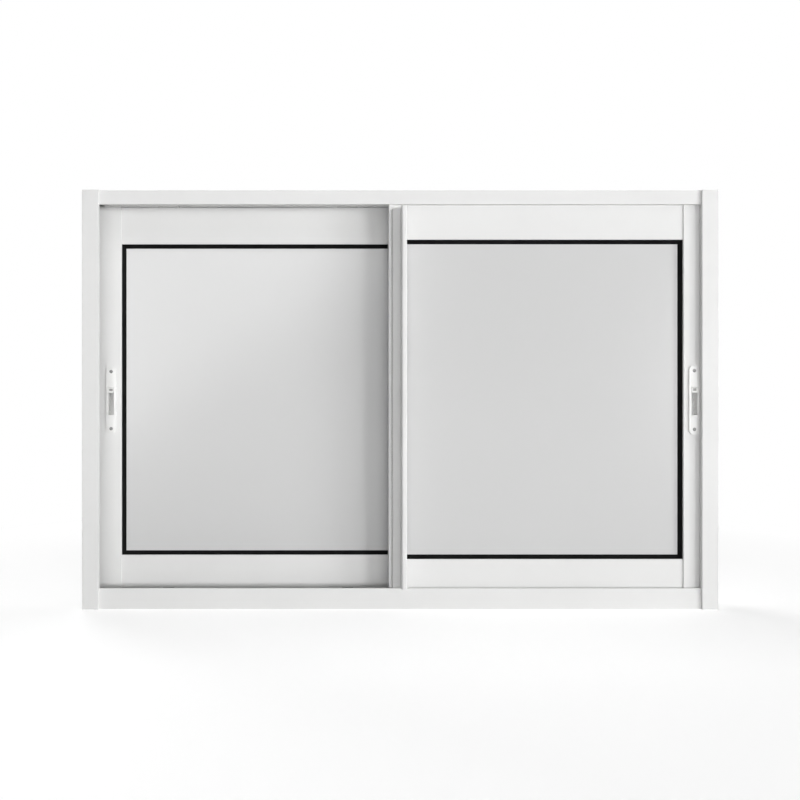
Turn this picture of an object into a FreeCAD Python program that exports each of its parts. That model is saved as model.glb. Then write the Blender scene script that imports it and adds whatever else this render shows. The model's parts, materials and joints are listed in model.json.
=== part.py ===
"""Horizontal sliding window: an aluminium frame with two tracks and two sliding glazed sashes.

X runs along the tracks, Y from the room to the outside and Z up, in millimetres.
The origin is on the underside of the sill, in the middle of the frame's length and depth.
The right sash runs in the room-side track and the left sash in the track behind it.
"""
import FreeCAD
import Part
import Sketcher

import math
import os
import re

DIMENSIONS = {
    # outer frame, cut from four lengths of a profile with three legs
    "frame_width": 1190,
    "frame_height": 785,
    "frame_depth": 96,
    "frame_wall": 2,
    "leg_lip": 4,
    "face_setback": 5,
    "jamb_face": 30.5,
    "jamb_middle_leg": 19,
    "head_face": 26,
    "head_middle_leg": 18.5,
    "sill_face": 39,
    "sill_rear_leg": 30,
    "sill_middle_leg": 20,
    "track_pitch": 46,
    "track_rib": 3,
    "track_top": 24,
    "track_bead": 2,
    "guide_rib_drop": 12,
    "weep_length": 30,
    "weep_height": 5,
    "weep_spacing": 800,
    "anchor_radius": 4,
    "anchor_inset": 150,
    "port_offset": 7,
    "port_rise": 3,
    "port_radius": 3.5,
    "port_bore": 2,
    "screw_head": 4,
    "screw_shank": 1.9,
    "screw_length": 32,
    "edge_radius": 0.8,
    # sash profiles
    "sash_depth": 26,
    "sash_wall": 1.8,
    "rail_setback": 2.5,
    "sash_sill_clear": 5,
    "sash_head_clear": 5,
    "bottom_rail_height": 63,
    "top_rail_height": 71.5,
    "stile_sight": 30,
    "stile_engage": 15,
    "meeting_overlap": 20,
    "meeting_width": 26.5,
    "groove_offset": 3.5,
    "groove_width": 4,
    "groove_depth": 3,
    "rail_channel": 24,
    "glazing_lip": 2,
    "glazing_pocket": 10,
    # glass and its gaskets
    "glass_thick": 6,
    "glass_bite": 7.5,
    "gasket_heel": 5,
    "gasket_sight": 7.5,
    "gasket_nose": 2,
    # pull grip along the front meeting stile, and the interlock between the sashes
    "grip_start": 1.5,
    "grip_reach": 25,
    "grip_wall": 3,
    "grip_width": 10,
    "grip_nose": 6,
    "grip_foot_clear": 1,
    "grip_head_clear": 6,
    "grip_round": 3.4,
    "grip_corner": 1.2,
    "interlock_inset": 2,
    "interlock_wall": 2,
    "interlock_reach": 15,
    "interlock_lip": 24,
    "interlock_trim": 25,
    "end_cap_thick": 1.5,
    "end_cap_drop": 18,
    "end_cap_slope": 10,
    "foot_cap_drop": 9,
    "foot_cap_slope": 4,
    # rollers under each sash and guides on top of it
    "roller_offset": 90,
    "roller_radius": 14,
    "roller_width": 8,
    "roller_groove": 2.5,
    "roller_flare": 0.6,
    "roller_bore": 3,
    "axle_play": 0.1,
    "roller_seat_gap": 0.3,
    "housing_length": 60,
    "housing_drop": 23,
    "housing_slot": 11,
    "housing_plate": 1.5,
    "guide_length": 40,
    "guide_rise": 12,
    "guide_play": 0.5,
    # flush latch on each lock stile, and its keeper on the jamb
    "latch_offset": 19.5,
    "latch_drop": 5.5,
    "latch_plate_width": 19.5,
    "latch_plate_height": 129,
    "latch_plate_thick": 2.5,
    "latch_plate_corner": 8,
    "latch_slot_width": 10.8,
    "latch_slot_height": 52.6,
    "latch_slot_drop": 2,
    "latch_cup_wall": 2,
    "latch_cup_end": 8,
    "latch_cup_back": 4,
    "latch_cup_depth": 17.5,
    "latch_cutout_play": 0.3,
    "latch_web_gap": 0.3,
    "latch_web_wall": 3,
    "snib_height": 10,
    "snib_play": 0.5,
    "snib_proud": 1.2,
    "snib_depth": 10,
    "snib_corner": 1.5,
    "keeper_height": 80,
    "keeper_width": 16,
    "keeper_thick": 3,
    "keeper_slot": 6,
}

# Lengths that follow from the driving ones, as formulas on the sheet's names
DERIVED = {
    "half_width": "frame_width / 2",
    "half_depth": "frame_depth / 2",
    "half_wall": "frame_wall / 2",
    "half_rib": "track_rib / 2",
    "half_pitch": "track_pitch / 2",
    "half_sash": "sash_depth / 2",
    "jamb_edge": "half_width - jamb_face",
    "face_front": "half_depth - face_setback",
    "front_lip": "leg_lip + face_setback",
    "port_low": "frame_wall + port_rise",
    "port_high": "frame_height - frame_wall - port_rise",
    "sash_bottom": "track_top + sash_sill_clear",
    "sash_top": "frame_height - frame_wall - guide_rib_drop - sash_head_clear",
    "opening_bottom": "sash_bottom + bottom_rail_height",
    "opening_top": "sash_top - top_rail_height",
    "stile_inner": "jamb_edge - stile_sight",
    "stile_outer": "jamb_edge + stile_engage",
    "meeting_inner": "meeting_width - meeting_overlap",
    "rail_half": "half_sash - rail_setback",
    "rail_cavity": "rail_half - sash_wall",
    "lip_inner": "rail_half - glazing_lip",
    "cavity_half": "half_sash - sash_wall",
    "half_glass": "glass_thick / 2",
    "top_channel": "sash_top - rail_channel",
    "bottom_channel": "sash_bottom + rail_channel",
    "roller_axis": "track_top + roller_seat_gap + roller_radius - roller_groove",
    "latch_centre": "stile_inner + latch_offset",
    "latch_height": "(sash_bottom + sash_top) / 2 - latch_drop",
    "slot_middle": "latch_height - latch_slot_drop",
    "cup_half_width": "latch_slot_width / 2 + latch_cup_wall",
    "stile_web": "latch_centre + cup_half_width + latch_web_gap",
    "cup_half_height": "latch_slot_height / 2 + latch_cup_end",
}

TOLERANCE = 0.001

# Depth and height of the screws at the corners of the frame
CORNER_SCREWS = [
    ("-port_offset", "port_low"),
    ("port_offset", "port_low"),
    ("-port_offset", "port_high"),
    ("port_offset", "port_high"),
]


class Along:
    """Directions that edges run in."""

    X = FreeCAD.Vector(1, 0, 0)
    Y = FreeCAD.Vector(0, 1, 0)
    Z = FreeCAD.Vector(0, 0, 1)


doc = FreeCAD.newDocument("sliding_window")
sheet = doc.addObject("Spreadsheet::Sheet", "Dims")
subparts = []


def fill_sheet():
    """Write the driving dimensions as plain numbers and the derived ones as formulas, each with an alias."""
    row = 0
    for name, value in DIMENSIONS.items():
        row += 1
        sheet.set(f"A{row}", name)
        sheet.set(f"B{row}", str(value))
        sheet.setAlias(f"B{row}", name)
    for name, formula in DERIVED.items():
        row += 1
        sheet.set(f"A{row}", name)
        sheet.set(f"B{row}", "=" + formula)
        sheet.setAlias(f"B{row}", name)
    doc.recompute()


def bound(text):
    """Turn a formula on the sheet's names into one that any object of the document can use."""
    return re.sub(r"[a-z_]+", lambda word: "Dims." + word.group(), text)


def value(text):
    """The present number of a formula on the sheet's names."""
    return float(sheet.evalExpression(text))


def new_body(label):
    """A new body that is written out as one sub-part."""
    body = doc.addObject("PartDesign::Body", label)
    body.Label = label
    subparts.append(body)
    return body


def new_sketch(body, plane, offset):
    """An empty sketch on one of the body's own origin planes, moved along its normal by a formula."""
    sketch = body.newObject("Sketcher::SketchObject", body.Label + "_sketch")
    origin = next(f for f in body.Origin.OriginFeatures if f.Role == plane)
    sketch.AttachmentSupport = [(origin, "")]
    sketch.MapMode = "FlatFace"
    sketch.setExpression("AttachmentOffset.Base.z", bound(offset))
    return sketch


def add_polygon(sketch, corners):
    """A closed polygon whose corners are pairs of formulas."""
    count = len(corners)
    first = sketch.GeometryCount
    ring = [
        FreeCAD.Vector(math.cos(2 * math.pi * i / count), math.sin(2 * math.pi * i / count), 0)
        for i in range(count)
    ]
    for i in range(count):
        sketch.addGeometry(Part.LineSegment(ring[i], ring[(i + 1) % count]), False)
    for i in range(count):
        sketch.addConstraint(Sketcher.Constraint("Coincident", first + i, 2, first + (i + 1) % count, 1))
    for i, (across, up) in enumerate(corners):
        for kind, start, formula in (("DistanceX", ring[i].x, across), ("DistanceY", ring[i].y, up)):
            index = sketch.addConstraint(Sketcher.Constraint(kind, first + i, 1, start))
            sketch.setExpression(f"Constraints[{index}]", bound(formula))


def rectangle(left, right, low, high):
    """The four corners of a rectangle."""
    return [(left, low), (right, low), (right, high), (left, high)]


def extrude(body, plane, start, length, *loops, kind="Pad"):
    """Pad (or pocket) a sketch made of closed polygons, from a start along the plane's normal."""
    sketch = new_sketch(body, plane, start)
    for corners in loops:
        add_polygon(sketch, corners)
    feature = body.newObject("PartDesign::" + kind, body.Label + "_" + kind.lower())
    feature.Profile = sketch
    feature.setExpression("Length", bound(length))
    sketch.Visibility = False
    body.Tip = feature
    doc.recompute()
    return feature


def add_circle(sketch, across, up, radius):
    """A circle whose middle and radius are formulas. A sketch numbers a circle's middle as point 3."""
    index = sketch.addGeometry(Part.Circle(FreeCAD.Vector(0, 0, 0), FreeCAD.Vector(0, 0, 1), 1), False)
    for kind, place, start, formula in (
        ("DistanceX", (index, 3), 0, across),
        ("DistanceY", (index, 3), 0, up),
        ("Radius", (index,), 1, radius),
    ):
        number = sketch.addConstraint(Sketcher.Constraint(kind, *place, start))
        sketch.setExpression(f"Constraints[{number}]", bound(formula))


def bore(body, plane, start, length, radius, *places, kind="Pocket"):
    """Round holes (or, as a pad, round pins) at a list of places on one plane."""
    sketch = new_sketch(body, plane, start)
    for across, up in places:
        add_circle(sketch, across, up, radius)
    feature = body.newObject("PartDesign::" + kind, body.Label + "_round")
    feature.Profile = sketch
    feature.setExpression("Length", bound(length))
    sketch.Visibility = False
    body.Tip = feature
    doc.recompute()
    return feature


def round_edges(body, radius, direction, places):
    """Fillet the straight edges that run along one axis through the given places, None standing for any."""
    base = body.Tip
    names = []
    for number, edge in enumerate(base.Shape.Edges, 1):
        if len(edge.Vertexes) < 2 or not runs_along(edge, direction):
            continue
        middle = edge.CenterOfMass
        if any(is_at(middle, place) for place in places):
            names.append(f"Edge{number}")
    if not names:
        raise RuntimeError(f"{body.Label} has no edge to round")
    fillet = body.newObject("PartDesign::Fillet", body.Label + "_rounding")
    fillet.Base = (base, names)
    fillet.setExpression("Radius", bound(radius))
    body.Tip = fillet
    doc.recompute()
    return fillet


def runs_along(edge, direction):
    """Whether an edge is straight and parallel to an axis."""
    ends = [vertex.Point for vertex in edge.Vertexes]
    span = ends[1] - ends[0]
    return abs(abs(span.dot(direction)) - edge.Length) < TOLERANCE


def is_at(point, place):
    """Whether a point has the coordinates of a place, where None stands for any."""
    return all(want is None or abs(have - want) < TOLERANCE for have, want in zip(point, place))


# Outer frame

def jamb(label, side):
    """One upright of the frame: a web against the wall and three legs that form the two grooves."""
    body = new_body(label)

    def at(formula):
        return f"{side} * ( {formula} )"

    corners = [
        (at("half_width"), "-half_depth"),
        (at("half_width"), "half_depth"),
        (at("jamb_edge"), "half_depth"),
        (at("jamb_edge"), "half_depth - leg_lip"),
        (at("jamb_edge + frame_wall"), "half_depth - leg_lip"),
        (at("jamb_edge + frame_wall"), "half_depth - frame_wall"),
        (at("half_width - frame_wall"), "half_depth - frame_wall"),
        (at("half_width - frame_wall"), "half_wall"),
        (at("half_width - jamb_middle_leg - frame_wall"), "half_wall"),
        (at("half_width - jamb_middle_leg - frame_wall"), "-half_wall"),
        (at("half_width - frame_wall"), "-half_wall"),
        (at("half_width - frame_wall"), "frame_wall - half_depth"),
        (at("jamb_edge + frame_wall"), "frame_wall - half_depth"),
        (at("jamb_edge + frame_wall"), "front_lip - half_depth"),
        (at("jamb_edge"), "front_lip - half_depth"),
        (at("jamb_edge"), "-half_depth"),
    ]
    extrude(body, "XY_Plane", "0", "frame_height", corners)
    start = "half_width" if side == "1" else "frame_wall - half_width"
    bore(
        body, "YZ_Plane", start, "frame_wall", "anchor_radius",
        ("-half_pitch", "anchor_inset"), ("-half_pitch", "frame_height - anchor_inset"),
    )
    round_edges(body, "edge_radius", Along.Z, [
        (value(at(edge)), face, None)
        for edge in ("half_width", "jamb_edge")
        for face in (-value("half_depth"), value("half_depth"))
    ])
    for depth, height in CORNER_SCREWS:
        sink = corner_turn(body, "Groove", side, depth, height, [
            ("half_width", "0"),
            ("half_width", "screw_head"),
            ("half_width - frame_wall", "screw_shank"),
            ("half_width - frame_wall", "0"),
        ])
        body.Tip = sink
    doc.recompute()
    return body


def corner_turn(body, kind, side, depth, height, section):
    """Turn a section, given as places along the screw and radii, about the axis of one corner screw."""
    sketch = new_sketch(body, "XY_Plane", height)
    sketch.setExpression("AttachmentOffset.Base.y", bound(depth))
    add_polygon(sketch, [(f"{side} * ( {along} )", radius) for along, radius in section])
    turn = body.newObject("PartDesign::" + kind, body.Label + "_turn")
    turn.Profile = sketch
    turn.ReferenceAxis = (sketch, ["H_Axis"])
    turn.Angle = 360
    sketch.Visibility = False
    return turn


def corner_screw(label, side, depth, height):
    """Countersunk screw through the web of a jamb into a port of the head or sill."""
    body = new_body(label)
    body.Tip = corner_turn(body, "Revolution", side, depth, height, [
        ("half_width", "0"),
        ("half_width", "screw_head"),
        ("half_width - frame_wall", "screw_shank"),
        ("half_width - screw_length + screw_shank", "screw_shank"),
        ("half_width - screw_length", "0"),
    ])
    doc.recompute()
    return body


def add_ports(body, height):
    """Two round ports along the web of the head or sill that take the corner screws."""
    start, length = "frame_wall - half_width", "frame_width - 2 * frame_wall"
    places = [("-port_offset", height), ("port_offset", height)]
    bore(body, "YZ_Plane", start, length, "port_radius", *places, kind="Pad")
    feature = bore(body, "YZ_Plane", start, length, "port_bore", *places)
    feature.Reversed = True
    doc.recompute()


def head():
    """The top member: legs pointing down, with a guide rib for each sash."""
    body = new_body("head_track")
    under = "frame_height - frame_wall"
    legs = [
        ("-face_front", "frame_height"),
        ("half_depth", "frame_height"),
        ("half_depth", "frame_height - head_face"),
        ("half_depth - leg_lip", "frame_height - head_face"),
        ("half_depth - leg_lip", "frame_height - head_face + frame_wall"),
        ("half_depth - frame_wall", "frame_height - head_face + frame_wall"),
        ("half_depth - frame_wall", under),
    ]
    for middle, half, drop in (
        ("half_pitch", "half_rib", "guide_rib_drop"),
        ("0", "half_wall", "head_middle_leg"),
        ("-half_pitch", "half_rib", "guide_rib_drop"),
    ):
        legs += [
            (f"{middle} + {half}", under),
            (f"{middle} + {half}", f"{under} - {drop}"),
            (f"{middle} - {half}", f"{under} - {drop}"),
            (f"{middle} - {half}", under),
        ]
    legs += [
        ("frame_wall - face_front", under),
        ("frame_wall - face_front", "frame_height - head_face + frame_wall"),
        ("leg_lip - face_front", "frame_height - head_face + frame_wall"),
        ("leg_lip - face_front", "frame_height - head_face"),
        ("-face_front", "frame_height - head_face"),
    ]
    extrude(body, "YZ_Plane", "-jamb_edge", "2 * jamb_edge", legs)
    add_web_tongues(body, under, "frame_height")
    add_ports(body, "port_high")
    foot = value("frame_height - head_face")
    round_edges(body, "edge_radius", Along.X, [
        (None, -value("face_front"), foot),
        (None, value("half_depth"), foot),
    ])
    return body


def sill():
    """The bottom member: legs pointing up, with a running rib for the rollers of each sash."""
    body = new_body("sill_track")
    legs = [
        ("half_depth", "0"),
        ("-face_front", "0"),
        ("-face_front", "sill_face"),
        ("leg_lip - face_front", "sill_face"),
        ("leg_lip - face_front", "sill_face - frame_wall"),
        ("frame_wall - face_front", "sill_face - frame_wall"),
        ("frame_wall - face_front", "frame_wall"),
    ]
    for middle, half, top in (
        ("-half_pitch", "half_rib", "track_top"),
        ("0", "half_wall", "sill_middle_leg"),
        ("half_pitch", "half_rib", "track_top"),
    ):
        legs += [
            (f"{middle} - {half}", "frame_wall"),
            (f"{middle} - {half}", top),
            (f"{middle} + {half}", top),
            (f"{middle} + {half}", "frame_wall"),
        ]
    legs += [
        ("half_depth - frame_wall", "frame_wall"),
        ("half_depth - frame_wall", "sill_rear_leg"),
        ("half_depth", "sill_rear_leg"),
    ]
    extrude(body, "YZ_Plane", "-jamb_edge", "2 * jamb_edge", legs)
    add_web_tongues(body, "0", "frame_wall")
    add_ports(body, "port_low")
    bead_height = "track_top - track_bead"
    bore(
        body, "YZ_Plane", "-jamb_edge", "2 * jamb_edge", "track_bead",
        ("-half_pitch", bead_height), ("half_pitch", bead_height), kind="Pad",
    )
    low = "2 * frame_wall"
    slots = [
        rectangle(f"{middle} - weep_length / 2", f"{middle} + weep_length / 2", low, f"{low} + weep_height")
        for middle in ("-weep_spacing / 2", "weep_spacing / 2")
    ]
    extrude(
        body, "XZ_Plane", "half_pitch + half_rib", "half_pitch + half_rib + half_depth", *slots,
        kind="Pocket",
    )
    round_edges(body, "edge_radius", Along.X, [
        (None, -value("face_front"), value("sill_face")),
        (None, value("half_depth"), value("sill_rear_leg")),
    ])
    return body


def add_web_tongues(body, low, high):
    """Run the web of the head or sill on between the jamb's legs, up to the jamb's web."""
    extrude(
        body, "YZ_Plane", "frame_wall - half_width", "frame_width - 2 * frame_wall",
        rectangle("-face_front", "-half_wall", low, high),
        rectangle("half_wall", "half_depth - frame_wall", low, high),
    )


# Sash profiles

def lock_stile(sash):
    """Outer upright of a sash: glazing pocket, latch chamber, and a channel open to the jamb."""
    body = new_body(f"{sash.name}_lock_stile")
    pocket_floor = "stile_inner + glazing_pocket"
    outline = [
        (sash.across("stile_inner"), sash.depth("-half_sash")),
        (sash.across("stile_outer"), sash.depth("-half_sash")),
        (sash.across("stile_outer"), sash.depth("-cavity_half")),
        (sash.across("stile_web + latch_web_wall"), sash.depth("-cavity_half")),
        (sash.across("stile_web + latch_web_wall"), sash.depth("cavity_half")),
        (sash.across("stile_outer"), sash.depth("cavity_half")),
        (sash.across("stile_outer"), sash.depth("half_sash")),
        (sash.across("stile_inner"), sash.depth("half_sash")),
        (sash.across("stile_inner"), sash.depth("lip_inner")),
        (sash.across(pocket_floor), sash.depth("lip_inner")),
        (sash.across(pocket_floor), sash.depth("-lip_inner")),
        (sash.across("stile_inner"), sash.depth("-lip_inner")),
    ]
    chamber = rectangle(
        sash.across(f"{pocket_floor} + sash_wall"), sash.across("stile_web"),
        sash.depth("-cavity_half"), sash.depth("cavity_half"),
    )
    extrude(body, "XY_Plane", "sash_bottom", "sash_top - sash_bottom", outline, chamber)
    hole = rectangle(
        sash.across("latch_centre - cup_half_width - latch_cutout_play"),
        sash.across("latch_centre + cup_half_width + latch_cutout_play"),
        "slot_middle - cup_half_height - latch_cutout_play",
        "slot_middle + cup_half_height + latch_cutout_play",
    )
    extrude(body, "XZ_Plane", sash.out("-half_sash"), "sash_wall", hole, kind="Pocket")
    round_edges(body, "edge_radius", Along.Z, [
        (value(sash.across(edge)), value(sash.depth(face)), None)
        for edge in ("stile_inner", "stile_outer")
        for face in ("-half_sash", "half_sash")
    ])
    return body


def meeting_stile(sash):
    """Inner upright of a sash, which laps over the other sash's. The front one carries the pull grip."""
    body = new_body(f"{sash.name}_meeting_stile")
    pocket_floor = "meeting_inner - glazing_pocket"
    groove = "groove_offset - meeting_overlap"
    groove_floor = "groove_depth - half_sash"
    outline = [
        (sash.across("-meeting_overlap"), sash.depth("-half_sash")),
        (sash.across(groove), sash.depth("-half_sash")),
        (sash.across(groove), sash.depth(groove_floor)),
        (sash.across(f"{groove} + groove_width"), sash.depth(groove_floor)),
        (sash.across(f"{groove} + groove_width"), sash.depth("-half_sash")),
        (sash.across("meeting_inner"), sash.depth("-half_sash")),
        (sash.across("meeting_inner"), sash.depth("-lip_inner")),
        (sash.across(pocket_floor), sash.depth("-lip_inner")),
        (sash.across(pocket_floor), sash.depth("lip_inner")),
        (sash.across("meeting_inner"), sash.depth("lip_inner")),
        (sash.across("meeting_inner"), sash.depth("half_sash")),
        (sash.across("-meeting_overlap"), sash.depth("half_sash")),
    ]
    cavity = rectangle(
        sash.across("sash_wall - meeting_overlap"), sash.across(f"{pocket_floor} - sash_wall"),
        sash.depth(f"{groove_floor} + sash_wall"), sash.depth("cavity_half"),
    )
    extrude(body, "XY_Plane", "sash_bottom", "sash_top - sash_bottom", outline, cavity)
    if sash.front:
        face = "-half_sash"
        nose = f"{face} - grip_reach"
        grip = [
            (sash.across("grip_start"), sash.depth(face)),
            (sash.across("grip_start"), sash.depth(nose)),
            (sash.across("grip_start + grip_width"), sash.depth(nose)),
            (sash.across("grip_start + grip_width"), sash.depth(f"{nose} + grip_nose")),
            (sash.across("grip_start + grip_wall"), sash.depth(f"{nose} + grip_nose")),
            (sash.across("grip_start + grip_wall"), sash.depth(face)),
        ]
        extrude(
            body, "XY_Plane", "sill_face + grip_foot_clear",
            "frame_height - head_face - grip_head_clear - sill_face - grip_foot_clear", grip,
        )
        tip = value(sash.across("grip_start + grip_width"))
        front = value(sash.depth(nose))
        round_edges(body, "grip_round", Along.Z, [
            (value(sash.across("grip_start")), front, None),
            (tip, front, None),
        ])
        round_edges(body, "grip_corner", Along.Z, [(tip, value(sash.depth(f"{nose} + grip_nose")), None)])
    round_edges(body, "edge_radius", Along.Z, [
        (value(sash.across(edge)), value(sash.depth(face)), None)
        for edge in ("-meeting_overlap", "meeting_inner")
        for face in ("-half_sash", "half_sash")
    ])
    return body


def interlock(sash):
    """Hook profile along the meeting stile, on the side that faces the other sash."""
    body = new_body(f"{sash.name}_interlock")
    start = "interlock_inset - meeting_overlap"
    root = "half_sash"
    tip = "half_sash + interlock_reach"
    hook = [
        (sash.across(start), sash.toward(root)),
        (sash.across(f"{start} + interlock_wall"), sash.toward(root)),
        (sash.across(f"{start} + interlock_wall"), sash.toward(f"{tip} - interlock_wall")),
        (sash.across(f"{start} + interlock_lip"), sash.toward(f"{tip} - interlock_wall")),
        (sash.across(f"{start} + interlock_lip"), sash.toward(tip)),
        (sash.across(start), sash.toward(tip)),
    ]
    extrude(
        body, "XY_Plane", "sash_bottom + interlock_trim",
        "sash_top - sash_bottom - 2 * interlock_trim", hook,
    )
    return body


def rail(sash, end, opening, outer, channel, sign):
    """Top or bottom member of a sash: glazing pocket, hollow box, and a channel open to the track."""
    body = new_body(f"{sash.name}_{end}_rail")
    pocket_floor = f"{opening} {sign} glazing_pocket"
    outline = [
        (sash.depth("-rail_half"), opening),
        (sash.depth("-lip_inner"), opening),
        (sash.depth("-lip_inner"), pocket_floor),
        (sash.depth("lip_inner"), pocket_floor),
        (sash.depth("lip_inner"), opening),
        (sash.depth("rail_half"), opening),
        (sash.depth("rail_half"), outer),
        (sash.depth("rail_cavity"), outer),
        (sash.depth("rail_cavity"), channel),
        (sash.depth("-rail_cavity"), channel),
        (sash.depth("-rail_cavity"), outer),
        (sash.depth("-rail_half"), outer),
    ]
    opposite = "-" if sign == "+" else "+"
    cavity = rectangle(
        sash.depth("-rail_cavity"), sash.depth("rail_cavity"),
        f"{pocket_floor} {sign} sash_wall", f"{channel} {opposite} sash_wall",
    )
    extrude(body, "YZ_Plane", sash.left_end(), "stile_inner - meeting_inner", outline, cavity)
    round_edges(body, "edge_radius", Along.X, [
        (None, value(sash.depth(face)), value(edge))
        for edge in (opening, outer)
        for face in ("-rail_half", "rail_half")
    ])
    return body


def end_cap(sash, end, tip, sign, drop, slope):
    """Plastic cap over the notched end of a meeting stile, with a sloping edge on the room side."""
    body = new_body(f"{sash.name}_{end}_end_cap")
    outline = [
        (sash.across("-meeting_overlap"), tip),
        (sash.across("grip_start"), tip),
        (sash.across("grip_start"), f"{tip} {sign} ( {drop} - {slope} )"),
        (sash.across("-meeting_overlap"), f"{tip} {sign} {drop}"),
    ]
    extrude(body, "XZ_Plane", sash.out("-half_sash"), "end_cap_thick", outline)
    return body


# Glazing

def pane(sash):
    """One sheet of glass, held in the pockets of the four profiles."""
    body = new_body(f"{sash.name}_glass")
    outline = rectangle(
        sash.across("meeting_inner - glass_bite"), sash.across("stile_inner + glass_bite"),
        "opening_bottom - glass_bite", "opening_top + glass_bite",
    )
    extrude(body, "XZ_Plane", sash.out("half_glass"), "glass_thick", outline)
    return body


def gasket(sash, side, back, front):
    """Rubber wedge round the glass, with its heel behind the lips and a face that slopes to the glass."""
    body = new_body(f"{sash.name}_{side}_gasket")

    def ring(grow):
        return rectangle(
            sash.across(f"meeting_inner - ( {grow} )"), sash.across(f"stile_inner + ( {grow} )"),
            f"opening_bottom - ( {grow} )", f"opening_top + ( {grow} )",
        )

    extrude(body, "XZ_Plane", sash.out(back), "lip_inner - half_glass", ring("gasket_heel"))
    on_glass, on_lip = (back, front) if side == "room" else (front, back)
    near = new_sketch(body, "XZ_Plane", sash.out(on_lip))
    add_polygon(near, ring("-gasket_nose"))
    far = new_sketch(body, "XZ_Plane", sash.out(on_glass))
    add_polygon(far, ring("-gasket_sight"))
    window = body.newObject("PartDesign::SubtractiveLoft", body.Label + "_window")
    window.Profile = near
    window.Sections = [far]
    window.Ruled = True
    body.Tip = window
    doc.recompute()
    return body


# Hardware

def latch_plate(sash):
    """Face plate of the flush latch, with rounded ends and a finger slot."""
    body = new_body(f"{sash.name}_latch_plate")
    outline = rectangle(
        sash.across("latch_centre - latch_plate_width / 2"),
        sash.across("latch_centre + latch_plate_width / 2"),
        "latch_height - latch_plate_height / 2", "latch_height + latch_plate_height / 2",
    )
    slot = rectangle(
        sash.across("latch_centre - latch_slot_width / 2"),
        sash.across("latch_centre + latch_slot_width / 2"),
        "slot_middle - latch_slot_height / 2", "slot_middle + latch_slot_height / 2",
    )
    extrude(body, "XZ_Plane", sash.out("-half_sash"), "latch_plate_thick", outline, slot)
    round_edges(body, "latch_plate_corner", Along.Y, [
        (None, None, value("latch_height - latch_plate_height / 2")),
        (None, None, value("latch_height + latch_plate_height / 2")),
    ])
    return body


def latch_cup(sash):
    """Cast body behind the slot, with the recess where a fingertip pulls the sash."""
    body = new_body(f"{sash.name}_latch_cup")
    shell = rectangle(
        sash.across("latch_centre - cup_half_width"), sash.across("latch_centre + cup_half_width"),
        "slot_middle - cup_half_height", "slot_middle + cup_half_height",
    )
    extrude(body, "XZ_Plane", sash.out("latch_cup_depth - half_sash"), "latch_cup_depth", shell)
    hollow = rectangle(
        sash.across("latch_centre - latch_slot_width / 2"),
        sash.across("latch_centre + latch_slot_width / 2"),
        "slot_middle - latch_slot_height / 2", "slot_middle + latch_slot_height / 2",
    )
    extrude(
        body, "XZ_Plane", sash.out("-half_sash"), "latch_cup_depth - latch_cup_back", hollow, kind="Pocket",
    )
    return body


def latch_snib(sash):
    """Thumb piece at the top of the slot, which slides down to throw the latch."""
    body = new_body(f"{sash.name}_latch_snib")
    top = "slot_middle + latch_slot_height / 2 - snib_play"
    outline = rectangle(
        sash.across("latch_centre - latch_slot_width / 2 + snib_play"),
        sash.across("latch_centre + latch_slot_width / 2 - snib_play"),
        f"{top} - snib_height", top,
    )
    back = "-half_sash + snib_depth"
    extrude(
        body, "XZ_Plane", sash.out(back), "snib_depth + latch_plate_thick + snib_proud", outline,
    )
    face = value(sash.depth("-half_sash - latch_plate_thick - snib_proud"))
    round_edges(body, "snib_corner", Along.X, [(None, face, None)])
    return body


def keeper(sash):
    """Strike plate on the web of the jamb, level with the latch."""
    body = new_body("right_keeper" if sash.front else "left_keeper")
    half_height = "keeper_height / 2"
    outline = rectangle(
        sash.depth("-keeper_width / 2"), sash.depth("keeper_width / 2"),
        f"latch_height - {half_height}", f"latch_height + {half_height}",
    )
    slot = rectangle(
        sash.depth("-keeper_slot / 2"), sash.depth("keeper_slot / 2"),
        f"latch_height - {half_height} / 2", f"latch_height + {half_height} / 2",
    )
    start = "half_width - frame_wall - keeper_thick" if sash.front else "frame_wall - half_width"
    extrude(body, "YZ_Plane", start, "keeper_thick", outline, slot)
    return body


def pair(label, pieces):
    """Like pieces as a single sub-part."""
    compound = doc.addObject("Part::Compound", label)
    compound.Label = label
    compound.Links = pieces
    for piece in pieces:
        subparts.remove(piece)
    subparts.append(compound)
    doc.recompute()
    return compound


def roller_wheel(sash, number, place):
    """Grooved wheel that runs on the rib of the sill."""
    body = new_body(f"{sash.name}_wheel_{number}")
    sketch = new_sketch(body, "XY_Plane", "roller_axis")
    sketch.setExpression("AttachmentOffset.Base.x", bound(place))
    inner = "roller_bore + axle_play"
    tread = "roller_radius - roller_groove"
    section = [
        (inner, "-roller_width / 2"),
        ("roller_radius", "-roller_width / 2"),
        ("roller_radius", "-track_bead - roller_flare"),
        (tread, "-half_rib"),
        (tread, "half_rib"),
        ("roller_radius", "track_bead + roller_flare"),
        ("roller_radius", "roller_width / 2"),
        (inner, "roller_width / 2"),
    ]
    add_polygon(sketch, [(radius, sash.depth(along)) for radius, along in section])
    turn = body.newObject("PartDesign::Revolution", body.Label + "_turn")
    turn.Profile = sketch
    turn.ReferenceAxis = (sketch, ["V_Axis"])
    turn.Angle = 360
    sketch.Visibility = False
    body.Tip = turn
    doc.recompute()
    return body


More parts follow.
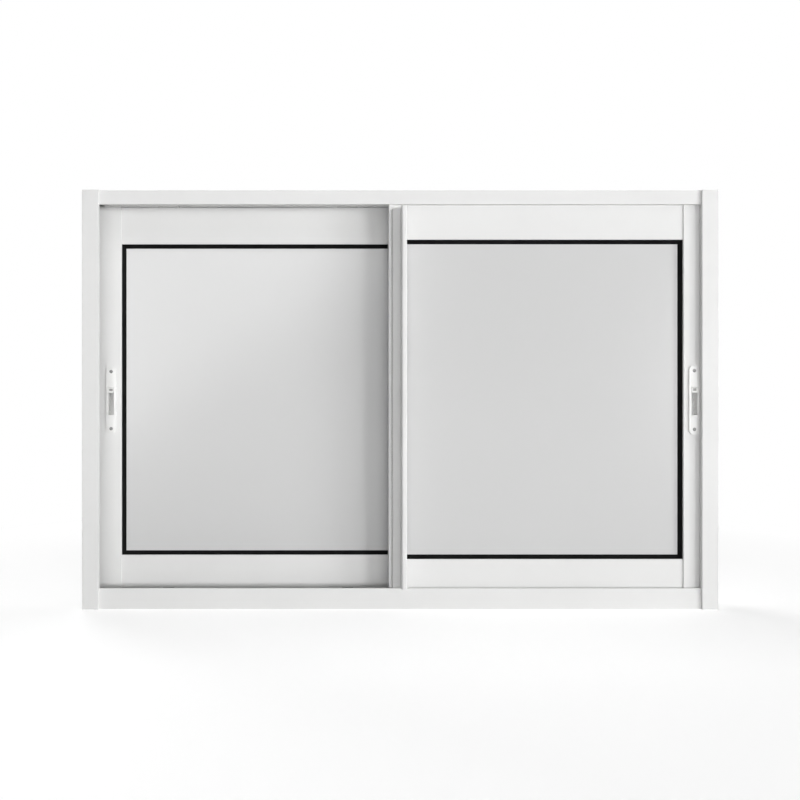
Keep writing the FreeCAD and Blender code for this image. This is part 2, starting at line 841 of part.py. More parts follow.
def roller_housing(sash, number, place):
    """Bracket in the channel of the bottom rail, with the axle of one wheel."""
    body = new_body(f"{sash.name}_housing_{number}")
    low = "bottom_channel - housing_drop"
    bridge = "bottom_channel - housing_plate"
    section = [
        (sash.depth("-rail_cavity"), low),
        (sash.depth("-housing_slot / 2"), low),
        (sash.depth("-housing_slot / 2"), bridge),
        (sash.depth("housing_slot / 2"), bridge),
        (sash.depth("housing_slot / 2"), low),
        (sash.depth("rail_cavity"), low),
        (sash.depth("rail_cavity"), "bottom_channel"),
        (sash.depth("-rail_cavity"), "bottom_channel"),
    ]
    extrude(body, "YZ_Plane", f"{place} - housing_length / 2", "housing_length", section)
    bore(
        body, "XZ_Plane", sash.out("rail_cavity"), "2 * rail_cavity", "roller_bore",
        (place, "roller_axis"), kind="Pad",
    )
    return body


def guide_block(sash, number, place):
    """Nylon block in the channel of the top rail that straddles the rib of the head."""
    body = new_body(f"{sash.name}_guide_{number}")
    top = "sash_top + guide_rise"
    floor = "frame_height - frame_wall - guide_rib_drop - 2 * guide_play"
    section = [
        (sash.depth("-rail_cavity"), "top_channel"),
        (sash.depth("rail_cavity"), "top_channel"),
        (sash.depth("rail_cavity"), top),
        (sash.depth("half_rib + guide_play"), top),
        (sash.depth("half_rib + guide_play"), floor),
        (sash.depth("-half_rib - guide_play"), floor),
        (sash.depth("-half_rib - guide_play"), top),
        (sash.depth("-rail_cavity"), top),
    ]
    extrude(body, "YZ_Plane", f"{place} - guide_length / 2", "guide_length", section)
    return body


class Sash:
    """One of the two sashes: where it stands, and formulas for places on it."""

    def __init__(self, name, front):
        self.name = name
        self.front = front
        self.side = 1 if front else -1

    def across(self, formula):
        """X of a place given for the right-hand sash, mirrored for the left one."""
        return f"{self.side} * ( {formula} )"

    def depth(self, formula):
        """Y of a place given from the middle of the sash."""
        return f"{formula} - half_pitch" if self.front else f"{formula} + half_pitch"

    def toward(self, formula):
        """Y of a place given from the middle of the sash, counted towards the other sash."""
        return f"{formula} - half_pitch" if self.front else f"half_pitch - ( {formula} )"

    def out(self, formula):
        """Offset of an XZ sketch, whose normal points to the room, for a depth in the sash."""
        return f"-1 * ( {self.depth(formula)} )"

    def left_end(self):
        """X where the rails start."""
        return "meeting_inner" if self.front else "-1 * stile_inner"


def build():
    """Make every sub-part of the window."""
    fill_sheet()
    head()
    sill()
    for label, side in (("left", "-1"), ("right", "1")):
        jamb(f"{label}_jamb", side)
        pair(f"{label}_corner_screws", [
            corner_screw(f"{label}_screw_{number}", side, depth, height)
            for number, (depth, height) in enumerate(CORNER_SCREWS, 1)
        ])
    for sash in (Sash("left_sash", False), Sash("right_sash", True)):
        lock_stile(sash)
        meeting_stile(sash)
        interlock(sash)
        rail(sash, "top", "opening_top", "sash_top", "top_channel", "+")
        rail(sash, "bottom", "opening_bottom", "sash_bottom", "bottom_channel", "-")
        end_cap(sash, "top", "sash_top", "-", "end_cap_drop", "end_cap_slope")
        end_cap(sash, "bottom", "sash_bottom", "+", "foot_cap_drop", "foot_cap_slope")
        pane(sash)
        gasket(sash, "room", "-half_glass", "-lip_inner")
        gasket(sash, "weather", "lip_inner", "half_glass")
        latch_plate(sash)
        latch_cup(sash)
        latch_snib(sash)
        keeper(sash)
        places = [sash.across("meeting_inner + roller_offset"), sash.across("stile_inner - roller_offset")]
        for label, make in (
            ("roller_wheels", roller_wheel),
            ("roller_housings", roller_housing),
            ("guide_blocks", guide_block),
        ):
            pieces = [make(sash, number, place) for number, place in enumerate(places, 1)]
            pair(f"{sash.name}_{label}", pieces)


def check_and_write():
    """Stop if anything failed, then write each sub-part to its own file."""
    doc.recompute()
    for item in doc.Objects:
        if "Invalid" in item.State or "Error" in item.State:
            raise RuntimeError(f"{item.Label} failed: {item.State}")
    os.makedirs("parts", exist_ok=True)
    for item in subparts:
        shape = item.Shape
        if shape.isNull() or not shape.isValid() or not shape.Solids:
            raise RuntimeError(f"{item.Label} has no valid shape")
        shape.exportStep(os.path.join("parts", item.Label + ".step"))
        box = shape.BoundBox
        print(f"{item.Label}: {len(shape.Solids)} solid, {shape.Volume:.0f} mm3, "
              f"X {box.XMin:.1f} to {box.XMax:.1f}, Y {box.YMin:.1f} to {box.YMax:.1f}, "
              f"Z {box.ZMin:.1f} to {box.ZMax:.1f}")


build()
check_and_write()
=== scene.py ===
"""Looks of a two-track sliding window: its finishes, small trim, light and camera.

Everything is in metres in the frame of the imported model: X along the tracks, Y from the room to the
outside, Z up.
"""
import json
import logging
import math
from dataclasses import dataclass, field
from enum import Enum
from typing import Any

import bpy
import numpy as np
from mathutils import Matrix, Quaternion, Vector


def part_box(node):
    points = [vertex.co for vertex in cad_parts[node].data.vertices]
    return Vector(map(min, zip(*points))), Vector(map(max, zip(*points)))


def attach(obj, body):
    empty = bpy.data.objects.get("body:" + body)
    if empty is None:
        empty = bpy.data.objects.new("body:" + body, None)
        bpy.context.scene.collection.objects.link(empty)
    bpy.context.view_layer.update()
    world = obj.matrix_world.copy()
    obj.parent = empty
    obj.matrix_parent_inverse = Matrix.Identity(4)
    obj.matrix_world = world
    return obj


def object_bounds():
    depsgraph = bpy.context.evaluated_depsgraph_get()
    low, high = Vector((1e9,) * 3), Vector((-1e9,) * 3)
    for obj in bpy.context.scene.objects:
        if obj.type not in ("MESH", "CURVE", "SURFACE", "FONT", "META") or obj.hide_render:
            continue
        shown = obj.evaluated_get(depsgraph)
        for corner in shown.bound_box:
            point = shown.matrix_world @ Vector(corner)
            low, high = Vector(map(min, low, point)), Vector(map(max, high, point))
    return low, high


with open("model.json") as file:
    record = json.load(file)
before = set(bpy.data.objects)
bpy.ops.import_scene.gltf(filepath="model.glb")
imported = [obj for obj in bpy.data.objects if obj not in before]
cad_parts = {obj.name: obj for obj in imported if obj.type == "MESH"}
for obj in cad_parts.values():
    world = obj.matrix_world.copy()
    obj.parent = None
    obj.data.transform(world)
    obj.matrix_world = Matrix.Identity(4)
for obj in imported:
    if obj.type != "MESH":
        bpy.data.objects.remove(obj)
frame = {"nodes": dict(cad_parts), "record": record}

log = logging.getLogger("sliding_window")

CAD_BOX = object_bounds()
BODY = "root"
MILLIMETRE = 0.001
IMAGE_SIDE = 800
ACROSS = Vector((1.0, 0.0, 0.0))
TO_ROOM = Vector((0.0, -1.0, 0.0))
UP = Vector((0.0, 0.0, 1.0))

Colour = tuple[float, float, float]
Place = tuple[float, float, float]
WHITE: Colour = (1.0, 1.0, 1.0)


class Slot(Enum):
    """Material slots of the record."""

    ALUMINIUM = "white_aluminium"
    ENAMEL = "white_enamel"
    PLASTIC = "white_plastic"
    GLASS = "satin_glass"
    RUBBER = "black_rubber"
    NYLON = "grey_nylon"
    STEEL = "zinc_steel"


class Side(Enum):
    """The two sashes.

    The value is the sign of the direction from the middle of the window to the sash's lock stile.
    """

    LEFT = -1
    RIGHT = 1

    @property
    def sash(self) -> str:
        """Start of the names of this sash's nodes."""
        return f"{self.name.lower()}_sash"


@dataclass
class Signal:
    """A shader socket that can be used in sums and products."""

    graph: "Graph"
    socket: bpy.types.NodeSocket

    def _math(self, operation: str, first: Any, second: Any) -> "Signal":
        """Add one Math node.

        Args:
            operation: name of the Math node's operation.
            first: first operand, a signal or a number.
            second: second operand, a signal or a number.

        Returns:
            The node's result.
        """
        return self.graph.add("ShaderNodeMath", {"operation": operation}, {0: first, 1: second})

    def __add__(self, other: Any) -> "Signal":
        """Sum."""
        return self._math("ADD", self, other)

    def __radd__(self, other: Any) -> "Signal":
        """Sum with a number on the left."""
        return self._math("ADD", other, self)

    def __sub__(self, other: Any) -> "Signal":
        """Difference."""
        return self._math("SUBTRACT", self, other)

    def __rsub__(self, other: Any) -> "Signal":
        """Difference from a number."""
        return self._math("SUBTRACT", other, self)

    def __mul__(self, other: Any) -> "Signal":
        """Product."""
        return self._math("MULTIPLY", self, other)

    def __rmul__(self, other: Any) -> "Signal":
        """Product with a number on the left."""
        return self._math("MULTIPLY", other, self)


@dataclass(frozen=True)
class Octaves:
    """Make-up of a noise: its number of octaves, and the weight of the finer ones."""

    detail: float
    roughness: float


class Graph:
    """Node tree that is filled one node at a time."""

    def __init__(self, tree: bpy.types.NodeTree) -> None:
        """Take over a tree and empty it.

        Args:
            tree: node tree of a material or a world.
        """
        self.tree = tree
        tree.nodes.clear()

    def add(self, kind: str, settings: dict[str, Any] | None = None,
            inputs: dict[int | str, Any] | None = None, output: int | str = 0) -> Signal:
        """Add one node, set it up and wire it.

        Args:
            kind: name of the node type.
            settings: properties of the node, which are set first.
            inputs: values or signals of its sockets, by name or number.
            output: socket to return, by name or number.

        Returns:
            The chosen output, or a signal without a socket for a node that has none.
        """
        node = self.tree.nodes.new(kind)
        for name, setting in (settings or {}).items():
            setattr(node, name, setting)
        for name, entry in (inputs or {}).items():
            socket = node.inputs[name]
            if isinstance(entry, Signal):
                self.tree.links.new(entry.socket, socket)
            elif isinstance(entry, tuple) and len(entry) == 3 and socket.type == "RGBA":
                socket.default_value = (*entry, 1.0)
            else:
                socket.default_value = entry
        return Signal(self, node.outputs[output] if node.outputs else None)

    def noise(self, scale: float, octaves: Octaves) -> Signal:
        """Noise on Object coordinates.

        Args:
            scale: features per metre.
            octaves: make-up of the noise.

        Returns:
            The noise, between 0 and 1.
        """
        place = self.add("ShaderNodeTexCoord", output="Object")
        return self.add("ShaderNodeTexNoise", {}, {
            "Vector": place,
            "Scale": scale,
            "Detail": octaves.detail,
            "Roughness": octaves.roughness,
        })

    def mix(self, factor: Signal, first: Colour, second: Colour) -> Signal:
        """Blend of two colours.

        Args:
            factor: share of the second colour.
            first: colour at 0.
            second: colour at 1.

        Returns:
            The colour.
        """
        first_colour, second_colour, factor_socket, colour_output = 6, 7, 0, 2
        inputs = {factor_socket: factor, first_colour: first, second_colour: second}
        return self.add("ShaderNodeMix", {"data_type": "RGBA"}, inputs, colour_output)

    def ramp(self, signal: Signal, low: float, high: float) -> Signal:
        """Straight rise from 0 at one level of a signal to 1 at another.

        Args:
            signal: input.
            low: level that becomes 0.
            high: level that becomes 1.

        Returns:
            The new signal, held between 0 and 1.
        """
        return self.add("ShaderNodeMapRange", {"clamp": True},
                        {"Value": signal, "From Min": low, "From Max": high})

    def bump(self, height: Signal, strength: float, distance: float) -> Signal:
        """Bumped normal.

        Args:
            height: height signal.
            strength: share of the effect.
            distance: depth of the relief in metres.

        Returns:
            The normal.
        """
        inputs = {"Height": height, "Strength": strength, "Distance": distance}
        return self.add("ShaderNodeBump", {}, inputs)


CLOUD = Octaves(4.0, 0.55)
CLOUD_START = 0.35
CLOUD_END = 0.68
GRAIN = Octaves(2.0, 0.5)
GLOSS = Octaves(3.0, 0.6)
GLOSS_PER_RELIEF = 0.12
NOISE_MEAN = 0.5


@dataclass(frozen=True)
class Finish:
    """A surface: two tones that drift into each other, gloss that varies, and a fine relief."""

    name: str
    tone: Colour
    drift: Colour
    roughness: float
    roughness_spread: float = 0.06
    metallic: float = 0.0
    coat: float = 0.0
    specular: float = 0.5
    drift_scale: float = 5.0
    relief_scale: float = 900.0
    relief_depth: float = 0.0002
    relief_strength: float = 0.1

    def material(self) -> bpy.types.Material:
        """Make the material.

        Returns:
            A new material with its nodes.
        """
        made = bpy.data.materials.new(self.name)
        made.use_nodes = True
        graph = Graph(made.node_tree)
        share = graph.ramp(graph.noise(self.drift_scale, CLOUD), CLOUD_START, CLOUD_END)
        grain = graph.noise(self.relief_scale, GRAIN)
        gloss = graph.noise(self.relief_scale * GLOSS_PER_RELIEF, GLOSS)
        swing = 2.0 * self.roughness_spread
        surface = graph.add("ShaderNodeBsdfPrincipled", {}, {
            "Base Color": graph.mix(share, self.tone, self.drift),
            "Roughness": self.roughness + (gloss - NOISE_MEAN) * swing,
            "Metallic": self.metallic,
            "Coat Weight": self.coat,
            "Specular IOR Level": self.specular,
            "Normal": graph.bump(grain, self.relief_strength, self.relief_depth),
        })
        graph.add("ShaderNodeOutputMaterial", {}, {"Surface": surface})
        return made


FINISHES: dict[Slot, Finish] = {
    Slot.ALUMINIUM: Finish(
        "white_powder_coat", (0.80, 0.80, 0.795), (0.775, 0.775, 0.77), 0.42,
        specular=0.2, relief_scale=1100.0, relief_strength=0.12,
    ),
    Slot.ENAMEL: Finish(
        "white_latch_enamel", (0.83, 0.83, 0.82), (0.80, 0.80, 0.79), 0.26,
        coat=0.25, relief_scale=500.0, relief_strength=0.06,
    ),
    Slot.PLASTIC: Finish(
        "white_moulded_plastic", (0.86, 0.86, 0.85), (0.83, 0.83, 0.82), 0.32,
        relief_scale=1500.0, relief_strength=0.08,
    ),
    Slot.GLASS: Finish(
        "satin_glass", (0.623, 0.624, 0.624), (0.603, 0.604, 0.604), 0.21, roughness_spread=0.03,
        drift_scale=1.2, relief_scale=9.0, relief_depth=0.001, relief_strength=0.02,
    ),
    Slot.RUBBER: Finish(
        "black_gasket_rubber", (0.004, 0.004, 0.004), (0.009, 0.009, 0.009), 0.7,
        specular=0.04, drift_scale=40.0, relief_scale=1600.0, relief_strength=0.2,
    ),
    Slot.NYLON: Finish(
        "grey_nylon", (0.42, 0.42, 0.41), (0.36, 0.36, 0.35), 0.5,
        drift_scale=60.0, relief_scale=1800.0, relief_strength=0.15,
    ),
    Slot.STEEL: Finish(
        "zinc_plated_steel", (0.56, 0.57, 0.58), (0.45, 0.46, 0.47), 0.36, roughness_spread=0.1,
        metallic=1.0, drift_scale=90.0, relief_scale=700.0,
    ),
}

PILE = Finish(
    "pale_pile", (0.62, 0.62, 0.61), (0.72, 0.72, 0.71), 0.9,
    specular=0.15, drift_scale=700.0, relief_scale=2500.0, relief_depth=0.0006, relief_strength=0.8,
)
SCREW = Finish(
    "dull_screw", (0.27, 0.27, 0.265), (0.21, 0.21, 0.21), 0.45, roughness_spread=0.08,
    metallic=1.0, drift_scale=300.0, relief_scale=1500.0,
)


def ring_quads(index: np.ndarray) -> list[list[int]]:
    """Quads between each row of a grid and the next, whose last column joins the first.

    Args:
        index: numbers of the points, rows by columns.

    Returns:
        Corners of each quad.
    """
    after = np.roll(index, -1, axis=1)
    corners = [index[:-1], after[:-1], after[1:], index[1:]]
    return np.stack(corners, axis=-1).reshape(-1, len(corners)).tolist()


def grid_faces(index: np.ndarray, poles: bool) -> list[list[int]]:
    """Faces of a closed surface.

    Args:
        index: numbers of the points, rows by columns.
        poles: whether the end rows are poles, or else edges of flat caps.

    Returns:
        Corners of each face.
    """
    if not poles:
        return ring_quads(index) + [index[0][::-1].tolist(), index[-1].tolist()]
    inner = index[1:-1]
    after = np.roll(inner, -1, axis=1)
    start, end = np.full_like(index[0], index[0, 0]), np.full_like(index[-1], index[-1, 0])
    first = np.stack([start, after[0], inner[0]], axis=-1)
    last = np.stack([inner[-1], after[-1], end], axis=-1)
    return ring_quads(inner) + first.tolist() + last.tolist()


def grid_object(name: str, points: np.ndarray, poles: bool,
                finish: bpy.types.Material) -> bpy.types.Object:
    """Put a closed surface into a mesh.

    The grid's rows run along the surface and its columns go round it, so the last column joins the
    first. Its end rows become single points where the shape has poles, and flat caps where it is a tube.

    Args:
        name: name of the object.
        points: array of rows by columns by 3.
        poles: whether the end rows are poles.
        finish: material.

    Returns:
        The object, at the origin.
    """
    index = np.arange(points.shape[0] * points.shape[1]).reshape(points.shape[:2])
    faces = grid_faces(index, poles)
    used = np.unique(np.concatenate(faces))
    number = {old: new for new, old in enumerate(used.tolist())}
    corners = [[number[corner] for corner in face] for face in faces]
    mesh = bpy.data.meshes.new(name)
    mesh.from_pydata(points.reshape(-1, 3)[used].tolist(), [], corners)
    mesh.validate()
    mesh.update()
    made = bpy.data.objects.new(name, mesh)
    bpy.context.scene.collection.objects.link(made)
    mesh.materials.append(finish)
    return made


def add_piece(made: bpy.types.Object) -> None:
    """Let a new piece ride on the window and report it.

    Args:
        made: the piece.
    """
    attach(made, BODY)
    log.info("%s: %d faces", made.name, len(made.data.polygons))


@dataclass
class Screw:
    """Domed screw head with a crossed recess."""

    radius: float = 3.3 * MILLIMETRE
    dome: float = 0.9 * MILLIMETRE
    sunk: float = 0.6 * MILLIMETRE
    recess_depth: float = 0.8 * MILLIMETRE
    recess_reach: float = 2.0 * MILLIMETRE
    recess_half_width: float = 0.45 * MILLIMETRE
    recess_edge: float = 0.12 * MILLIMETRE
    rings: int = 22
    turns: int = 64

    def surface(self, centre: Vector, outward: Vector, turn: float) -> np.ndarray:
        """Points of one head.

        The rows go out from the axis over the face of the head, down a short wall and back to the axis.

        Args:
            centre: place of the head on the face that it is driven into.
            outward: direction that the head looks in.
            turn: angle of the recess.

        Returns:
            Grid of points with a pole at each end.
        """
        face = np.linspace(0.0, self.radius, self.rings)
        back = np.array((self.radius, 0.0))
        angle = np.linspace(0.0, 2.0 * math.pi, self.turns, endpoint=False)
        reach = np.concatenate([face, back])[:, None]
        across, up = reach * np.cos(angle), reach * np.sin(angle)
        rise = self._height(across, up, turn)
        rise[len(face):] = -self.sunk
        normal, upward = np.array(outward), np.array(UP)
        side = np.cross(upward, normal)
        shape = across[..., None] * side + up[..., None] * upward + rise[..., None] * normal
        return shape + np.array(centre)

    def _height(self, across: np.ndarray, up: np.ndarray, turn: float) -> np.ndarray:
        """Height of the head's face.

        At a distance r from the axis it is dome * (1 - (r / radius)^2), less the depth of a cross of
        two slots.

        Args:
            across: places across the head.
            up: places up the head.
            turn: angle of the recess.

        Returns:
            The height at each place.
        """
        along_slot = np.abs(across * math.cos(turn) + up * math.sin(turn))
        over_slot = np.abs(up * math.cos(turn) - across * math.sin(turn))
        inside = self._within(np.minimum(along_slot, over_slot), self.recess_half_width)
        inside = inside * self._within(np.maximum(along_slot, over_slot), self.recess_reach)
        dome = self.dome * (1.0 - (across**2 + up**2) / self.radius**2)
        return dome - self.recess_depth * inside

    def _within(self, distance: np.ndarray, limit: float) -> np.ndarray:
        """Steep smooth step at an edge of the recess.

        Args:
            distance: distances from the middle of a slot.
            limit: distance of the edge.

        Returns:
            1 well within the edge and 0 well past it.
        """
        return 0.5 - 0.5 * np.tanh((distance - limit) / self.recess_edge)


@dataclass
class LatchScrews:
    """The two screws of each latch's face plate."""

    finish: bpy.types.Material
    inset: float = 9.3 * MILLIMETRE
    lower_turn: float = 0.35
    upper_turn: float = 1.1
    screw: Screw = field(default_factory=Screw)

    def build(self) -> None:
        """Put both screws on both plates."""
        for side in Side:
            low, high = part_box(f"{side.sash}_latch_plate")
            middle = (low.x + high.x) / 2.0
            self._drive(side, "lower", Vector((middle, low.y, low.z + self.inset)), self.lower_turn)
            self._drive(side, "upper", Vector((middle, low.y, high.z - self.inset)), self.upper_turn)

    def _drive(self, side: Side, name: str, centre: Vector, turn: float) -> None:
        """Put in one screw.

        Args:
            side: the sash.
            name: which screw of the plate it is.
            centre: place of its head on the plate's face.
            turn: angle of its recess.
        """
        points = self.screw.surface(centre, TO_ROOM, turn)
        made = grid_object(f"{side.sash}_{name}_latch_screw", points, True, self.finish)
        add_piece(made)


@dataclass
class ThumbPadsAndPaintedShade:
    """Ribbed pad on the face of each latch's thumb piece, whose grey is partly dirt and partly painted
    shade over the thumb piece's upper face.
    """

    finish: bpy.types.Material
    top_margin: float = 1.7 * MILLIMETRE
    side_margin: float = 1.5 * MILLIMETRE
    height: float = 4.9 * MILLIMETRE
    rise: float = 0.5 * MILLIMETRE
    groove: float = 0.4 * MILLIMETRE
    sunk: float = 0.2 * MILLIMETRE
    ribs: int = 4
    rows: int = 65
    profile_turns: int = 18

    def build(self) -> None:
        """Put a pad on both thumb pieces; its grey paints part of the shade on their upper faces."""
        for side in Side:
            low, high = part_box(f"{side.sash}_latch_snib")
            # The pad's grey nylon is partly painted shade for the thumb piece's upper face and partly
            # dirt.
            made = grid_object(f"{side.sash}_thumb_pad", self._surface(low, high), False, self.finish)
            add_piece(made)

    def _surface(self, low: Vector, high: Vector) -> np.ndarray:
        """Points of one pad.

        The section is a half oval on a flat base that is sunk into the thumb piece, for t from 0 to pi:
        across = width / 2 * cos(t), out = crest * sqrt(sin(t)) - sunk. From the bottom to the top, for v
        from 0 to 1, the crest falls by the depth of the grooves between the ribs:
        crest = rise + sunk - groove * (1 + cos(2 * pi * ribs * v)) / 2.

        Args:
            low: lowest corner of the thumb piece.
            high: highest corner of the thumb piece.

        Returns:
            Grid of points, with a row for each height.
        """
        share = np.linspace(0.0, 1.0, self.rows)[:, None]
        turn = np.linspace(0.0, math.pi, self.profile_turns)[None, :]
        dip = (1.0 + np.cos(2.0 * math.pi * self.ribs * share)) / 2.0
        crest = self.rise + self.sunk - self.groove * dip
        half_width = (high.x - low.x) / 2.0 - self.side_margin
        across = (low.x + high.x) / 2.0 + half_width * np.cos(turn)
        out = crest * np.sqrt(np.sin(turn)) - self.sunk
        upward = high.z - self.top_margin - self.height * (1.0 - share)
        return np.stack(np.broadcast_arrays(across, low.y - out, upward), axis=-1)


@dataclass
class PileStrip:
    """Brush seal with a ragged crest of fibres, along a straight line."""

    finish: bpy.types.Material
    tuft: float = 1.6 * MILLIMETRE
    raggedness: float = 0.18
    seed: int = 7
    fewest_rows: int = 3
    profile_turns: int = 14

    def build(self, name: str, start: Vector, end: Vector, width_axis: Vector, rise_axis: Vector,
              width: float, rise: float) -> None:
        """Make one strip.

        The section is a half oval on a flat base, for t from 0 to pi: across = width / 2 * cos(t),
        up = crest * rise * sqrt(sin(t)). Seeded noise takes a little off the crest from tuft to tuft.

        Args:
            name: name of the piece.
            start: middle of the base at one end.
            end: middle of the base at the other end.
            width_axis: direction across the strip.
            rise_axis: direction of the fibres.
            width: width of the strip.
            rise: height of the fibres.
        """
        run = np.array(end) - np.array(start)
        rows = max(self.fewest_rows, int(float(np.linalg.norm(run)) / self.tuft))
        along = np.linspace(0.0, 1.0, rows)[:, None, None]
        turn = np.linspace(0.0, math.pi, self.profile_turns)
        noise = np.random.default_rng(self.seed).random((rows, self.profile_turns))
        crest = 1.0 - self.raggedness * noise
        across = width / 2.0 * np.cos(turn)[:, None] * np.array(width_axis)
        up = (crest * rise * np.sqrt(np.sin(turn)))[..., None] * np.array(rise_axis)
        points = np.array(start) + along * run + across + up
        handed = np.dot(np.cross(np.array(width_axis), np.array(rise_axis)), run)
        if handed > 0.0:
            points = points[:, ::-1]
        made = grid_object(name, points, False, self.finish)
        add_piece(made)


@dataclass
class Seals:
    """Brush seals of the sashes: in the groove of the meeting stile, and against the frame's legs."""

    strip: PileStrip
    groove_offset: float = 3.5 * MILLIMETRE
    groove_width: float = 4.0 * MILLIMETRE
    groove_depth: float = 3.0 * MILLIMETRE
    leg_inset: float = 4.0 * MILLIMETRE
    leg_width: float = 5.0 * MILLIMETRE
    leg_wall: float = 2.0 * MILLIMETRE
    fill: float = 0.96

    def build(self) -> None:
        """Make the seals of both sashes."""
        for side in Side:
            self._in_groove(side)
            self._against_legs(side)

    def _in_groove(self, side: Side) -> None:
        """Fill the groove on the room face of a meeting stile.

        Args:
            side: the sash.
        """
        low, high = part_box(f"{side.sash}_meeting_stile")
        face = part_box(f"{side.sash}_lock_stile")[0].y
        edge = low.x if side is Side.RIGHT else high.x
        middle = edge + side.value * (self.groove_offset + self.groove_width / 2.0)
        floor = face + self.groove_depth
        start, end = Vector((middle, floor, low.z)), Vector((middle, floor, high.z))
        width, rise = self.groove_width * self.fill, self.groove_depth * self.fill
        self.strip.build(f"{side.sash}_meeting_pile", start, end, ACROSS, TO_ROOM, width, rise)

    def _against_legs(self, side: Side) -> None:
        """Run seals along the rails and the lock stile, from their outer face to the frame's leg.

        Args:
            side: the sash.
        """
        stile_low, stile_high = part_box(f"{side.sash}_lock_stile")
        rail_low, rail_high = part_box(f"{side.sash}_top_rail")
        on_room_side = side is Side.RIGHT
        outer = stile_high.x - self.leg_inset if on_room_side else stile_low.x + self.leg_inset
        stile_face = stile_low.y if on_room_side else stile_high.y
        rail_face = rail_low.y if on_room_side else rail_high.y
        top, bottom = stile_high.z - self.leg_inset, stile_low.z + self.leg_inset
        left, right = rail_low.x, rail_high.x
        jamb = f"{side.name.lower()}_jamb"
        self._run(side, "top", "head_track", (left, rail_face, top), (right, rail_face, top), UP)
        self._run(side, "lock", jamb, (outer, stile_face, bottom), (outer, stile_face, top), ACROSS)
        if on_room_side:
            start, end = (left, rail_face, bottom), (right, rail_face, bottom)
            self._run(side, "bottom", "sill_track", start, end, UP)

    def _run(self, side: Side, name: str, member: str, start: Place, end: Place,
             width_axis: Vector) -> None:
        """Make one seal from a sash's outer face to a leg of the frame.

        Args:
            side: the sash.
            name: where on the sash it is.
            member: node of the frame that has the leg.
            start: one end of it on the sash.
            end: its other end on the sash.
            width_axis: direction across the seal.
        """
        leg_low, leg_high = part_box(member)
        leg = leg_low.y + self.leg_wall if side is Side.RIGHT else leg_high.y - self.leg_wall
        gap = leg - start[1]
        rise_axis = Vector((0.0, math.copysign(1.0, gap), 0.0))
        self.strip.build(f"{side.sash}_{name}_pile", Vector(start), Vector(end), width_axis, rise_axis,
                         self.leg_width, abs(gap) * self.fill)


@dataclass
class Window:
    """The window's own pieces, each with the finish of its slot."""

    finishes: dict[str, bpy.types.Material]

    def dress(self) -> None:
        """Give every node its material."""
        slots = {entry["node"]: entry["material_slot"] for entry in frame["record"]["subparts"]}
        for name, node in frame["nodes"].items():
            for place in node.material_slots:
                place.material = self.finishes[slots[name]]
            log.info("%s: %s", name, slots[name])


@dataclass(frozen=True)
class Lamp:
    """One soft rectangular lamp: its turn is in degrees about the direction that it shines in."""

    name: str
    place: Vector
    target: Vector
    size: tuple[float, float]
    power: float
    turn: float = 0.0
    on_matt: bool = True
    in_gloss: bool = True

    def hang(self) -> None:
        """Put the lamp in its place, aimed at its target."""
        light = bpy.data.lights.new(self.name, "AREA")
        light.shape = "RECTANGLE"
        light.size, light.size_y = self.size
        light.energy = self.power
        made = bpy.data.objects.new(self.name, light)
        made.location = self.place
        aim = (self.target - self.place).to_track_quat("-Z", "Y")
        turned = aim @ Quaternion(UP, math.radians(self.turn))
        made.rotation_euler = turned.to_euler()
        made.visible_diffuse = self.on_matt
        made.visible_glossy = self.in_gloss
        bpy.context.scene.collection.objects.link(made)


MIDDLE = Vector((0.0, 0.0, 0.4))
LAMPS = (
    Lamp("key", Vector((4.1, -4.9, 0.6)), MIDDLE, (1.8, 1.0), 136.0),
    Lamp("side", Vector((5.5, -3.2, 0.6)), MIDDLE, (1.8, 1.0), 134.0),
    Lamp("low_fill", Vector((-0.2, -2.6, 0.1)), Vector((-0.2, 0.0, 0.4)), (2.4, 0.5), 26.0,
         in_gloss=False),
    Lamp("top_fill", Vector((0.0, -3.5, 4.5)), MIDDLE, (3.0, 2.0), 48.0, in_gloss=False),
    Lamp("sheen", Vector((-1.0, -3.2, 1.27)), Vector((-1.0, 0.0, 1.27)), (2.6, 1.4), 46.0,
         turn=35.0, on_matt=False),
    Lamp("over", Vector((0.0, 0.8, 4.0)), Vector((0.0, 0.1, 0.4)), (2.5, 1.2), 28.0, in_gloss=False),
    Lamp("back", Vector((-3.0, 4.5, 1.6)), MIDDLE, (3.0, 2.0), 165.0, in_gloss=False),
)


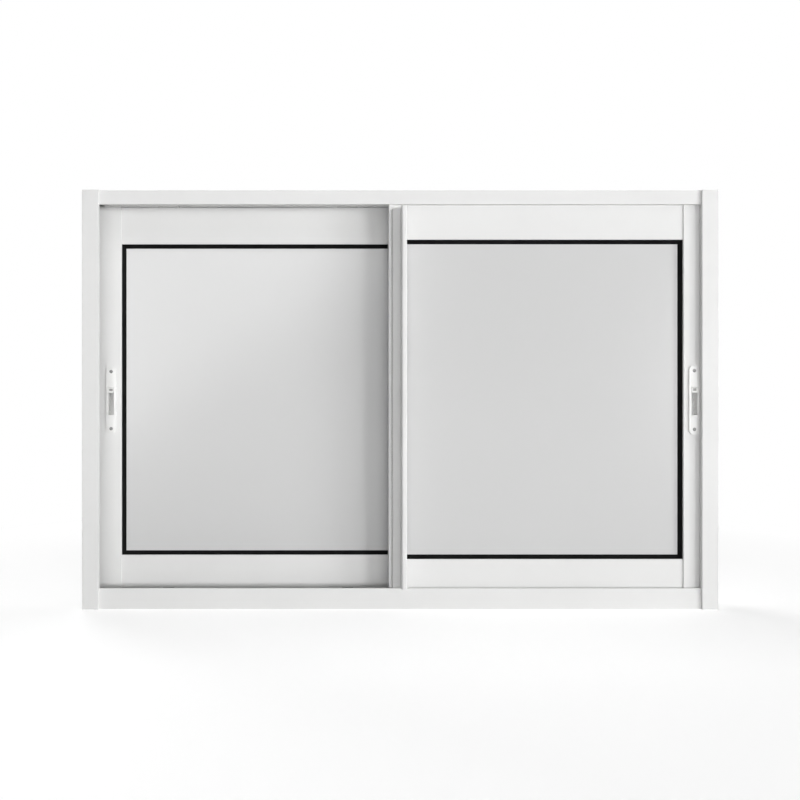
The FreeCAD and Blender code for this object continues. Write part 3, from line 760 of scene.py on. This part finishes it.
@dataclass
class Studio:
    """White ground, soft light from the right, and the camera of the photograph."""

    camera_x: float = -0.150
    camera_z: float = 0.3845
    front_distance: float = 1.586
    view_width: float = 1.495
    axis_column: float = 320.0
    axis_row: float = 404.0
    sensor_width: float = 36.0
    floor_reach: float = 30.0
    floor_colour: Colour = (0.9, 0.9, 0.9)
    ambient: float = 0.02
    shadow_reach: float = 0.35
    shadow_fade: float = 0.9
    lift: float = 0.52

    def build(self) -> None:
        """Set up the ground, the light and the camera."""
        scene = bpy.context.scene
        scene.view_settings.view_transform = "Standard"
        self._ground()
        self._sky()
        for lamp in LAMPS:
            lamp.hang()
        scene.camera = self._camera()

    def _ground(self) -> None:
        """White floor that shows the window's soft shadow."""
        near, far = -self.floor_reach, self.floor_reach
        corners = [(near, near, 0.0), (far, near, 0.0), (far, far, 0.0), (near, far, 0.0)]
        mesh = bpy.data.meshes.new("ground")
        mesh.from_pydata(corners, [], [(0, 1, 2, 3)])
        mesh.materials.append(self._ground_paint())
        ground = bpy.data.objects.new("ground", mesh)
        bpy.context.scene.collection.objects.link(ground)

    def _ground_paint(self) -> bpy.types.Material:
        """Pale floor around the window that turns into plain white away from it.

        Returns:
            The floor's material.
        """
        paint = bpy.data.materials.new("ground_white")
        paint.use_nodes = True
        graph = Graph(paint.node_tree)
        place = graph.add("ShaderNodeTexCoord", output="Object")
        distance = graph.add("ShaderNodeVectorMath", {"operation": "LENGTH"}, {0: place}, "Value")
        half = CAD_BOX[1].x
        far = graph.ramp(distance, half + self.shadow_reach, half + self.shadow_fade)
        shown = self._background_rays(graph)
        diffuse = graph.add("ShaderNodeBsdfDiffuse", {}, {"Color": self.floor_colour})
        glow = graph.add("ShaderNodeEmission", {}, {"Color": WHITE, "Strength": shown * self.lift})
        near = graph.add("ShaderNodeAddShader", {}, {0: diffuse, 1: glow})
        white = graph.add("ShaderNodeEmission", {}, {"Color": WHITE, "Strength": 1.0})
        both = graph.add("ShaderNodeMixShader", {}, {0: far * shown, 1: near, 2: white})
        graph.add("ShaderNodeOutputMaterial", {}, {"Surface": both})
        return paint

    def _sky(self) -> None:
        """White surround for the camera and for reflections, and a softer ambient light."""
        world = bpy.data.worlds.new("surround")
        bpy.context.scene.world = world
        world.use_nodes = True
        graph = Graph(world.node_tree)
        shown = self._background_rays(graph)
        strength = self.ambient + shown * (1.0 - self.ambient)
        sky = graph.add("ShaderNodeBackground", {}, {"Color": WHITE, "Strength": strength})
        graph.add("ShaderNodeOutputWorld", {}, {"Surface": sky})

    @staticmethod
    def _background_rays(graph: Graph) -> Signal:
        """Rays that see a white background: straight from the camera, mirrored, or through glass.

        Args:
            graph: graph to add the nodes to.

        Returns:
            1 for such a ray and 0 for any other.
        """
        seen = graph.add("ShaderNodeLightPath", output="Is Camera Ray")
        mirrored = graph.add("ShaderNodeLightPath", output="Is Glossy Ray")
        through = graph.add("ShaderNodeLightPath", output="Is Transmission Ray")
        return graph.ramp(seen + mirrored + through, 0.0, 1.0)

    def _camera(self) -> bpy.types.Object:
        """Camera square to the window, left of its middle, shifted so that the picture holds all of it.

        Returns:
            The camera.
        """
        lens = bpy.data.cameras.new("camera")
        lens.sensor_width = self.sensor_width
        lens.lens = self.sensor_width * self.front_distance / self.view_width
        lens.shift_x = 0.5 - self.axis_column / IMAGE_SIDE
        lens.shift_y = self.axis_row / IMAGE_SIDE - 0.5
        made = bpy.data.objects.new("camera", lens)
        low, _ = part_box("left_jamb")
        made.location = (self.camera_x, low.y - self.front_distance, self.camera_z)
        made.rotation_euler = (math.pi / 2.0, 0.0, 0.0)
        bpy.context.scene.collection.objects.link(made)
        return made


def main() -> None:
    """Dress the window, add its trim and set up the studio."""
    logging.basicConfig(level=logging.INFO)
    finishes = {slot.value: finish.material() for slot, finish in FINISHES.items()}
    Window(finishes).dress()
    LatchScrews(SCREW.material()).build()
    # The grey of the thumb pads is partly painted shade on the thumb pieces.
    ThumbPadsAndPaintedShade(finishes[Slot.NYLON.value]).build()
    Seals(PileStrip(PILE.material())).build()
    Studio().build()


if __name__ == "__main__":
    main()
